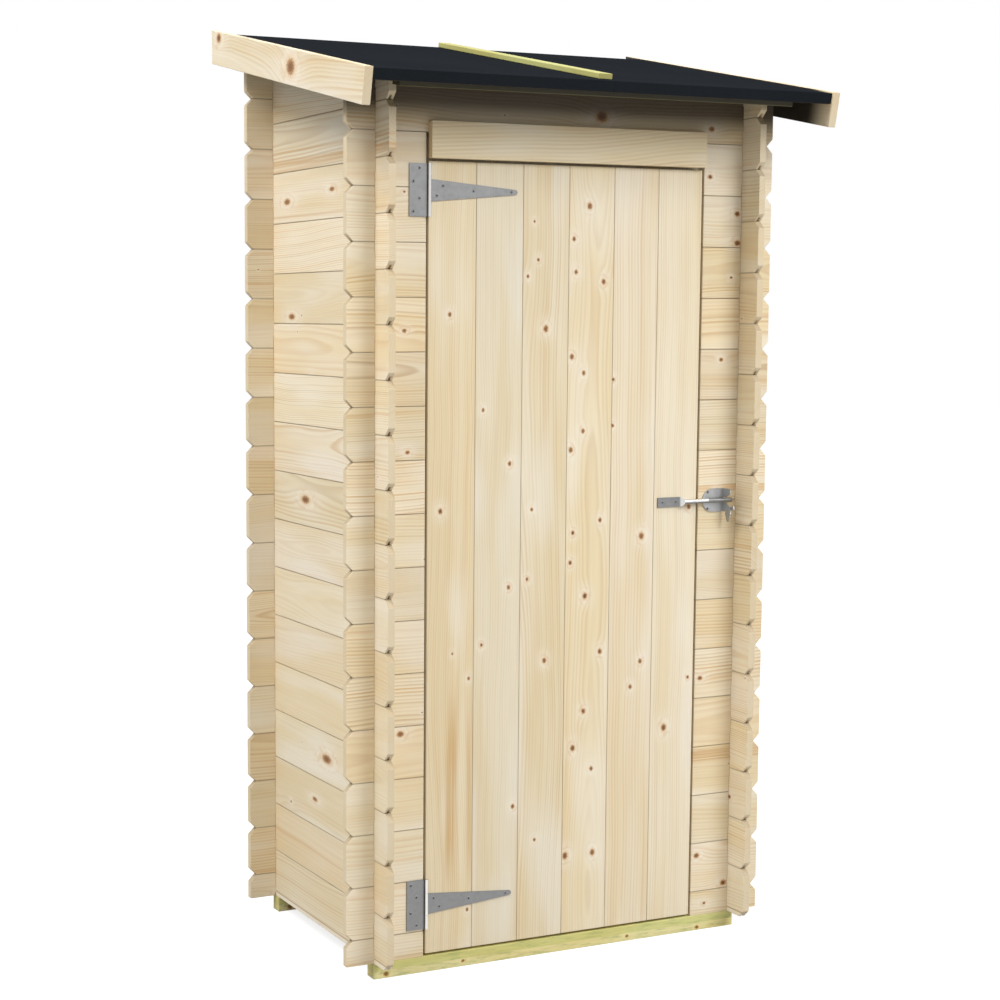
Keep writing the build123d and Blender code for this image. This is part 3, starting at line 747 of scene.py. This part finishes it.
# mixes the painted highlight into the zinc
def buildPaintedHighlight(s):
    inputs = colours("Color") + numbers("Roughness", "Mask")
    tree, given, made = newGroup("paintedHighlight", inputs, colours("Color") + numbers("Roughness"))
    feed(tree, made["Color"], tint(tree, given["Mask"], given["Color"], s["wearAndHighlight"]))
    dull = times(tree, given["Roughness"], minus(tree, 1.0, given["Mask"]))
    feed(tree, made["Roughness"], total(tree, dull, times(tree, given["Mask"], s["highlightRough"])))
    return tree


zincFlakes = buildZincFlakes(zincSetting)
paintedHighlight = buildPaintedHighlight(zincSetting)


# the last argument gives the mask for the painted highlight
def zincMaterial(name, s, wearAndHighlight=None):
    material, tree, shader = newMaterial(name)
    spot = place(tree)
    coat = placeGroup(tree, zincFlakes, {"Place": spot, "Dull": s["dull"], "Bright": s["bright"]})
    look = coat
    if wearAndHighlight:
        mask = wearAndHighlight(tree, *parts(tree, spot))
        values = {"Color": coat["Color"], "Roughness": coat["Roughness"], "Mask": mask}
        look = placeGroup(tree, paintedHighlight, values)
    feed(tree, shader.inputs["Base Color"], look["Color"])
    feed(tree, shader.inputs["Roughness"], look["Roughness"])
    shader.inputs["Metallic"].default_value = s["metal"]
    bump(tree, shader, coat["Height"], s["relief"], s["reliefShare"])
    return material


knuckleSetting = {"proud": 0.0024, "range": (0.0026, 0.0040, 1.0, 0.0)}
barSetting = {"plate": 0.055, "plateFade": 0.004, "inBody": 0.008, "bodyFade": 0.002, "litRange": (-0.5, 0.1)}


# painted highlight: a bright band down the front of each hinge knuckle
def knuckleHighlight(tree, x, y, z):
    s = knuckleSetting
    before = calc(tree, "LESS_THAN", y, frontFace - s["proud"])
    return times(tree, before, ease(tree, size(tree, minus(tree, x, doorLeft)), *s["range"]))


# painted highlight: the round bar is bright on its upper side between the plate and the latch body, and dull
# underneath
def barHighlight(tree, x, y, z):
    s = barSetting
    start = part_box("latch_bar")[0].x + s["plate"]
    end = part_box("latch_body")[0].x + s["inBody"]
    bright = times(tree, ease(tree, x, start, start + s["plateFade"]),
                   ease(tree, x, end, end + s["bodyFade"], 1.0, 0.0))
    return times(tree, bright, ease(tree, facing(tree)[2], *s["litRange"]))


# painted shade: the cross in each screw head is painted near black, with a few specks of zinc
recessSetting = {"dark": (0.008, 0.008, 0.008, 1), "dust": zincSetting["dull"], "dustScale": 900.0,
                 "dustShare": 0.15, "rough": 0.7}


def recessMaterial(s):
    material, tree, shader = newMaterial("screwRecess")
    dust = times(tree, cloud(tree, place(tree), s["dustScale"]), s["dustShare"])
    feed(tree, shader.inputs["Base Color"], tint(tree, dust, s["dark"], s["dust"]))
    shader.inputs["Roughness"].default_value = s["rough"]
    return material


felt = feltMaterial(feltSetting)
zinc = zincMaterial("zincSteel", zincSetting)
hingeZinc = zincMaterial("zincHinge", zincSetting, knuckleHighlight)
barZinc = zincMaterial("zincBar", zincSetting, barHighlight)
latchZinc = zincMaterial("zincLatch", latchZincSetting)
recess = recessMaterial(recessSetting)
print("felt and zinc done")


# every CAD node gets its finish, and wooden ones a small broken edge
finishes = {
    pine["left"]: ["left_wall_logs"],
    pine["right"]: ["right_wall_logs"],
    pine["front"]: ["front_wall_logs_left", "front_wall_logs_right", "front_wall_top_log"],
    pine["back"]: ["back_wall_logs"],
    pine["header"]: ["door_header", "upper_door_ledge", "lower_door_ledge"],
    pine["inside"]: ["left_door_post", "right_door_post", "door_brace"],
    pine["floor"]: ["floor_boards"],
    pine["deck"]: ["roof_panel_left", "roof_panel_right"],
    pine["barge"]: ["left_barge_board", "right_barge_board"],
    pine["strip"]: ["roof_cover_strip"],
    pine["batten"]: ["eaves_batten"],
    pine["bearer"]: ["front_bearer", "back_bearer"],
    felt: ["roof_felt_left", "roof_felt_right"],
    hingeZinc: ["upper_hinge_leaf", "lower_hinge_leaf", "upper_hinge_strap", "lower_hinge_strap"],
    barZinc: ["latch_bar"],
    latchZinc: ["latch_body", "latch_lever"],
}
for count in range(1, len(doorBoards) + 1):
    finishes[pine[f"door{count}"]] = [f"door_board_{count}"]
edgeSetting = {"weld": 0.00001, "segments": 2, "angle": 30}


def breakEdges(piece, width, s):
    weld = piece.modifiers.new("weld", "WELD")
    weld.merge_threshold = s["weld"]
    edge = piece.modifiers.new("edge", "BEVEL")
    edge.width = width
    edge.segments = s["segments"]
    edge.limit_method = "ANGLE"
    edge.angle_limit = math.radians(s["angle"])
    edge.use_clamp_overlap = False


for material, names in finishes.items():
    for name in names:
        piece = nodes[name]
        piece.data.materials.clear()
        piece.data.materials.append(material)
        if material.name.startswith(("pine", "treated")):
            breakEdges(piece, logSetting["edge"], edgeSetting)
print("finishes set on", sum(len(names) for names in finishes.values()), "nodes")


# walls between two rings of corners
def bridge(mesh, low, high):
    walls = []
    for step in range(len(low)):
        after = (step + 1) % len(low)
        walls.append(mesh.faces.new((low[step], low[after], high[after], high[step])))
    return walls


def newPiece(name, mesh, materials, body):
    bmesh.ops.recalc_face_normals(mesh, faces=mesh.faces)
    data = bpy.data.meshes.new(name)
    mesh.to_mesh(data)
    mesh.free()
    for material in materials:
        data.materials.append(material)
    piece = bpy.data.objects.new(name, data)
    bpy.context.scene.collection.objects.link(piece)
    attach(piece, body)
    return piece


# small hardware in zinc: countersunk screws with a cross, and the rivet of the latch lever
screwSetting = {
    "sides": 24, "rim": 0.0003, "rise": 0.0008, "crown": 0.78, "slot": 0.74, "waist": 0.40, "sharp": 3,
    "deep": 0.0005, "bottom": 0.85, "radius": 0.0036, "smallRadius": 0.0034, "turn": 0.5, "turnStep": 1.3,
}


def crossRadius(turn, radius, s):
    arm = abs(math.cos(2 * turn)) ** s["sharp"]      # four arms, one on each quarter turn
    return radius * (s["waist"] + (s["slot"] - s["waist"]) * arm)


def addScrew(mesh, spot, radius, turn, s):
    def ring(share, lift, cross=False):
        made = []
        for step in range(s["sides"]):
            angle = 2 * math.pi * step / s["sides"]
            reach = share * (crossRadius(angle, radius, s) if cross else radius)
            across = Vector((math.cos(angle + turn), 0, math.sin(angle + turn))) * reach
            made.append(mesh.verts.new(spot + across + Vector((0, -lift, 0))))
        return made

    rings = [ring(1.0, 0.0), ring(1.0, s["rim"]), ring(s["crown"], s["rise"]), ring(1.0, s["rise"], True),
             ring(s["bottom"], s["rise"] - s["deep"], True)]
    for low, high in zip(rings, rings[1:]):
        for wall in bridge(mesh, low, high):
            wall.material_index = int(high is rings[-1])
    mesh.faces.new(rings[-1]).material_index = 1
    mesh.faces.new(list(reversed(rings[0])))


def screwPiece(name, spots, radius, body):
    s = screwSetting
    mesh = bmesh.new()
    for count, spot in enumerate(spots):
        addScrew(mesh, Vector(spot), radius, s["turn"] + s["turnStep"] * count, s)
    return newPiece(name, mesh, [zinc, recess], body)


# places on a hinge, in metres: on the leaf from its outer top corner, on the strap from the pin
hingeScrews = {
    "upper": {"leaf": [(0.0227, 0.010), (0.009, 0.037), (0.0227, 0.071), (0.009, 0.098)],
              "strap": [(0.032, 0.009), (0.018, -0.011), (0.103, 0.0), (0.193, 0.0)]},
    "lower": {"leaf": [(0.009, 0.010), (0.0227, 0.037), (0.009, 0.071), (0.0227, 0.098)],
              "strap": [(0.018, 0.011), (0.032, -0.009), (0.103, 0.0), (0.193, 0.0)]},
}
hingePlate = 0.0020
seatGap = 0.0003


def buildHingeScrews():
    onPlate = frontFace - seatGap - hingePlate
    for name, spots in hingeScrews.items():
        low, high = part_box(f"{name}_hinge_leaf")
        leafSpots = [(low.x + x, onPlate, high.z - drop) for x, drop in spots["leaf"]]
        screwPiece(f"{name}LeafScrews", leafSpots, screwSetting["radius"], "shed")
        middle = (low.z + high.z) / 2
        strapSpots = [(doorLeft + x, onPlate, middle + z) for x, z in spots["strap"]]
        screwPiece(f"{name}StrapScrews", strapSpots, screwSetting["radius"], "door")


latchSetting = {
    "strikerPlate": 0.003, "strikerScrews": (0.011, 0.046), "plate": 0.0025, "plateScrews": (0.013, 0.0185),
    "rivet": 0.0036, "rivetRise": 0.0016, "rivetSink": 0.0010, "rivetSides": 20,
    "rivetRings": ((1.0, 0.0), (0.92, 0.45), (0.66, 0.8), (0.28, 1.0)),      # shares of its radius and rise
}


def buildLatchScrews(s):
    low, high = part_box("latch_bar")
    height = (low.z + high.z) / 2
    onStriker = frontFace - seatGap - s["strikerPlate"]
    spots = [(low.x + x, onStriker, height) for x in s["strikerScrews"]]
    screwPiece("strikerScrews", spots, screwSetting["smallRadius"], "door")
    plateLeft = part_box("latch_body")[0].x
    inset, spread = s["plateScrews"]
    onPlate = frontFace - seatGap - s["plate"]
    spots = [(plateLeft + inset, onPlate, height + side * spread) for side in (-1, 1)]
    screwPiece("latchPlateScrews", spots, screwSetting["smallRadius"], "shed")


# the pin's rounded end, turned over outside the lever
def buildLatchRivet(s):
    mesh = bmesh.new()
    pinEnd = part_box("latch_body")[1].x
    joint = next(joint for joint in frame["joints"] if joint["name"] == "latch_lift")
    centre = Vector(joint["pos_m"])
    rings = []
    for share, lift in s["rivetRings"]:
        ring = []
        out = pinEnd - s["rivetSink"] + s["rivetRise"] * lift
        reach = s["rivet"] * share
        for step in range(s["rivetSides"]):
            angle = 2 * math.pi * step / s["rivetSides"]
            corner = (out, centre.y + reach * math.cos(angle), centre.z + reach * math.sin(angle))
            ring.append(mesh.verts.new(corner))
        rings.append(ring)
    for inner, outer in zip(rings, rings[1:]):
        bridge(mesh, inner, outer)
    mesh.faces.new(rings[-1])
    mesh.faces.new(list(reversed(rings[0])))
    newPiece("latchRivet", mesh, [zinc], "shed")


buildHingeScrews()
buildLatchScrews(latchSetting)
buildLatchRivet(latchSetting)
print("screws and rivet done")


# the two roof panels as boards side by side, each with broken edges
deckSetting = {"boards": 5, "edge": 0.0016, "gap": 0.0004}


def addBoard(mesh, profile, ends):
    rings = [[mesh.verts.new(point + end) for point in profile] for end in ends]
    mesh.faces.new(rings[0])
    mesh.faces.new(list(reversed(rings[1])))
    bridge(mesh, *rings)


def buildRoofBoards(s):
    for side in ("left", "right"):
        node = f"roof_panel_{side}"
        ends = [slopeAlong * limitOf(node, slopeAlong, end) for end in (min, max)]
        under, top = (limitOf(node, slopeUp, end) for end in (min, max))
        low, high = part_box(node)
        pitch = (high.x - low.x) / s["boards"]
        edge = s["edge"]
        mesh = bmesh.new()
        for count in range(s["boards"]):
            left = low.x + count * pitch
            right = left + pitch - (s["gap"] if count < s["boards"] - 1 else 0)
            outline = [(left + edge, under), (right - edge, under), (right, under + edge), (right, top),
                       (left, top), (left, under + edge)]
            profile = [Vector((x, 0, 0)) + slopeUp * height for x, height in outline]
            addBoard(mesh, profile, ends)
        piece = newPiece(f"roofBoards{side.title()}", mesh, [pine["deck"]], "shed")
        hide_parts(node)


# beads that the shut door meets, on the posts and under the top log
stopSetting = {"lap": 0.011, "depth": 0.014, "behind": 0.0025, "topGap": 0.008, "edge": 0.0015}


def buildDoorStops(s):
    near = frontFace + logSetting["thickness"] + s["behind"]
    far = near + s["depth"]
    leftPost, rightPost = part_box("left_door_post"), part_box("right_door_post")
    foot = leftPost[0].z
    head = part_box("front_wall_top_log")[0].z
    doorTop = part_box("door_board_1")[1].z
    mesh = bmesh.new()
    for edge, inward in ((leftPost[1].x, 1), (rightPost[0].x, -1)):
        inner = edge + inward * s["lap"]
        soft = inner - inward * s["edge"]
        outline = [(edge, near), (soft, near), (inner, near + s["edge"]), (inner, far), (edge, far)]
        profile = [Vector((x, y, 0)) for x, y in outline]
        addBoard(mesh, profile, (Vector((0, 0, foot)), Vector((0, 0, head - s["topGap"]))))
    low = doorTop - s["lap"] / 2
    outline = [(near, head), (near, low + s["edge"]), (near + s["edge"], low), (far, low), (far, head)]
    profile = [Vector((0, y, z)) for y, z in outline]
    ends = (leftPost[1].x + s["lap"], rightPost[0].x - s["lap"])
    addBoard(mesh, profile, [Vector((x, 0, 0)) for x in ends])
    newPiece("doorStops", mesh, [pine["inside"]], "shed")


buildRoofBoards(deckSetting)
buildDoorStops(stopSetting)
print("roof boards and door stops done")


# floor, light and camera
stageSetting = {
    "floorSize": 40.0, "seenFloor": (0.35, 0.35, 0.35, 1), "bounceFloor": (0.34, 0.34, 0.34, 1), "rough": 0.9,
    "white": (1, 1, 1, 1), "ambient": 0.62, "lift": 0.80, "horizon": 0.72, "zenith": 1.10, "rise": 0.6,
}


def buildFloor(s):
    half = s["floorSize"] / 2
    corners = [(-half, -half, 0), (half, -half, 0), (half, half, 0), (-half, half, 0)]
    mesh = bpy.data.meshes.new("studioFloor")
    mesh.from_pydata(corners, [], [(0, 1, 2, 3)])
    floor = bpy.data.objects.new("studioFloor", mesh)
    bpy.context.scene.collection.objects.link(floor)
    material, tree, shader = newMaterial("studioFloor")
    shader.inputs["Roughness"].default_value = s["rough"]
    shader.inputs["Specular IOR Level"].default_value = 0.0
    shader.inputs["Emission Color"].default_value = s["white"]
    light = tree.nodes.new("ShaderNodeLightPath").outputs
    seen = calc(tree, "MAXIMUM", light["Is Camera Ray"], light["Is Glossy Ray"])
    feed(tree, shader.inputs["Base Color"], tint(tree, seen, s["bounceFloor"], s["seenFloor"]))
    feed(tree, shader.inputs["Emission Strength"], times(tree, seen, s["lift"]))
    mesh.materials.append(material)


def buildSky(s):
    world = bpy.data.worlds.new("studioLight")
    bpy.context.scene.world = world
    world.use_nodes = True
    tree = world.node_tree
    background = tree.nodes["Background"]
    background.inputs["Color"].default_value = s["white"]
    light = tree.nodes.new("ShaderNodeLightPath").outputs
    seen = calc(tree, "MAXIMUM", light["Is Camera Ray"], light["Is Glossy Ray"])
    seen = calc(tree, "MAXIMUM", seen, light["Is Transmission Ray"])
    up = parts(tree, tree.nodes.new("ShaderNodeTexCoord").outputs["Generated"])[2]
    sky = times(tree, ease(tree, up, 0.0, s["rise"], s["horizon"], s["zenith"]), s["ambient"])
    unseen = times(tree, sky, minus(tree, 1.0, seen))
    feed(tree, background.inputs["Strength"], total(tree, seen, unseen))


lampSetting = {
    "sideLamp": {"at": (-4.6, -0.8, 6.6), "aim": (0, 0, 1.0), "size": 3.2, "power": 368},
    "frontLamp": {"at": (2.6, -4.9, 5.2), "aim": (0, 0, 1.0), "size": 3.4, "power": 304},
}


def buildLamps(lamps):
    for name, s in lamps.items():
        data = bpy.data.lights.new(name, "AREA")
        data.size = s["size"]
        data.energy = s["power"]
        lamp = bpy.data.objects.new(name, data)
        lamp.location = s["at"]
        aim = Vector(s["aim"]) - lamp.location
        lamp.rotation_euler = aim.to_track_quat("-Z", "Y").to_euler()
        bpy.context.scene.collection.objects.link(lamp)


cameraSetting = {
    "offset": (-2.1888, -3.6468, 1.3681),      # from the foot of the front wall's middle
    "turn": 24.487, "dip": 6.190, "lens": 70.836, "sensor": 36, "shift": (0.1566, 0.0263),
}


def buildCamera(s):
    data = bpy.data.cameras.new("photoView")
    data.lens = s["lens"]
    data.sensor_width = s["sensor"]
    data.shift_x, data.shift_y = s["shift"]
    camera = bpy.data.objects.new("photoView", data)
    camera.location = Vector(s["offset"]) + Vector((0, frontFace, wallFoot))
    turn, dip = math.radians(s["turn"]), math.radians(s["dip"])
    aim = Vector((math.sin(turn) * math.cos(dip), math.cos(turn) * math.cos(dip), -math.sin(dip)))
    camera.rotation_euler = aim.to_track_quat("-Z", "Y").to_euler()
    bpy.context.scene.collection.objects.link(camera)
    bpy.context.scene.camera = camera


buildFloor(stageSetting)
buildSky(stageSetting)
buildLamps(lampSetting)
buildCamera(cameraSetting)
bpy.context.scene.view_settings.view_transform = "Standard"
print("stage, lamps and camera set")
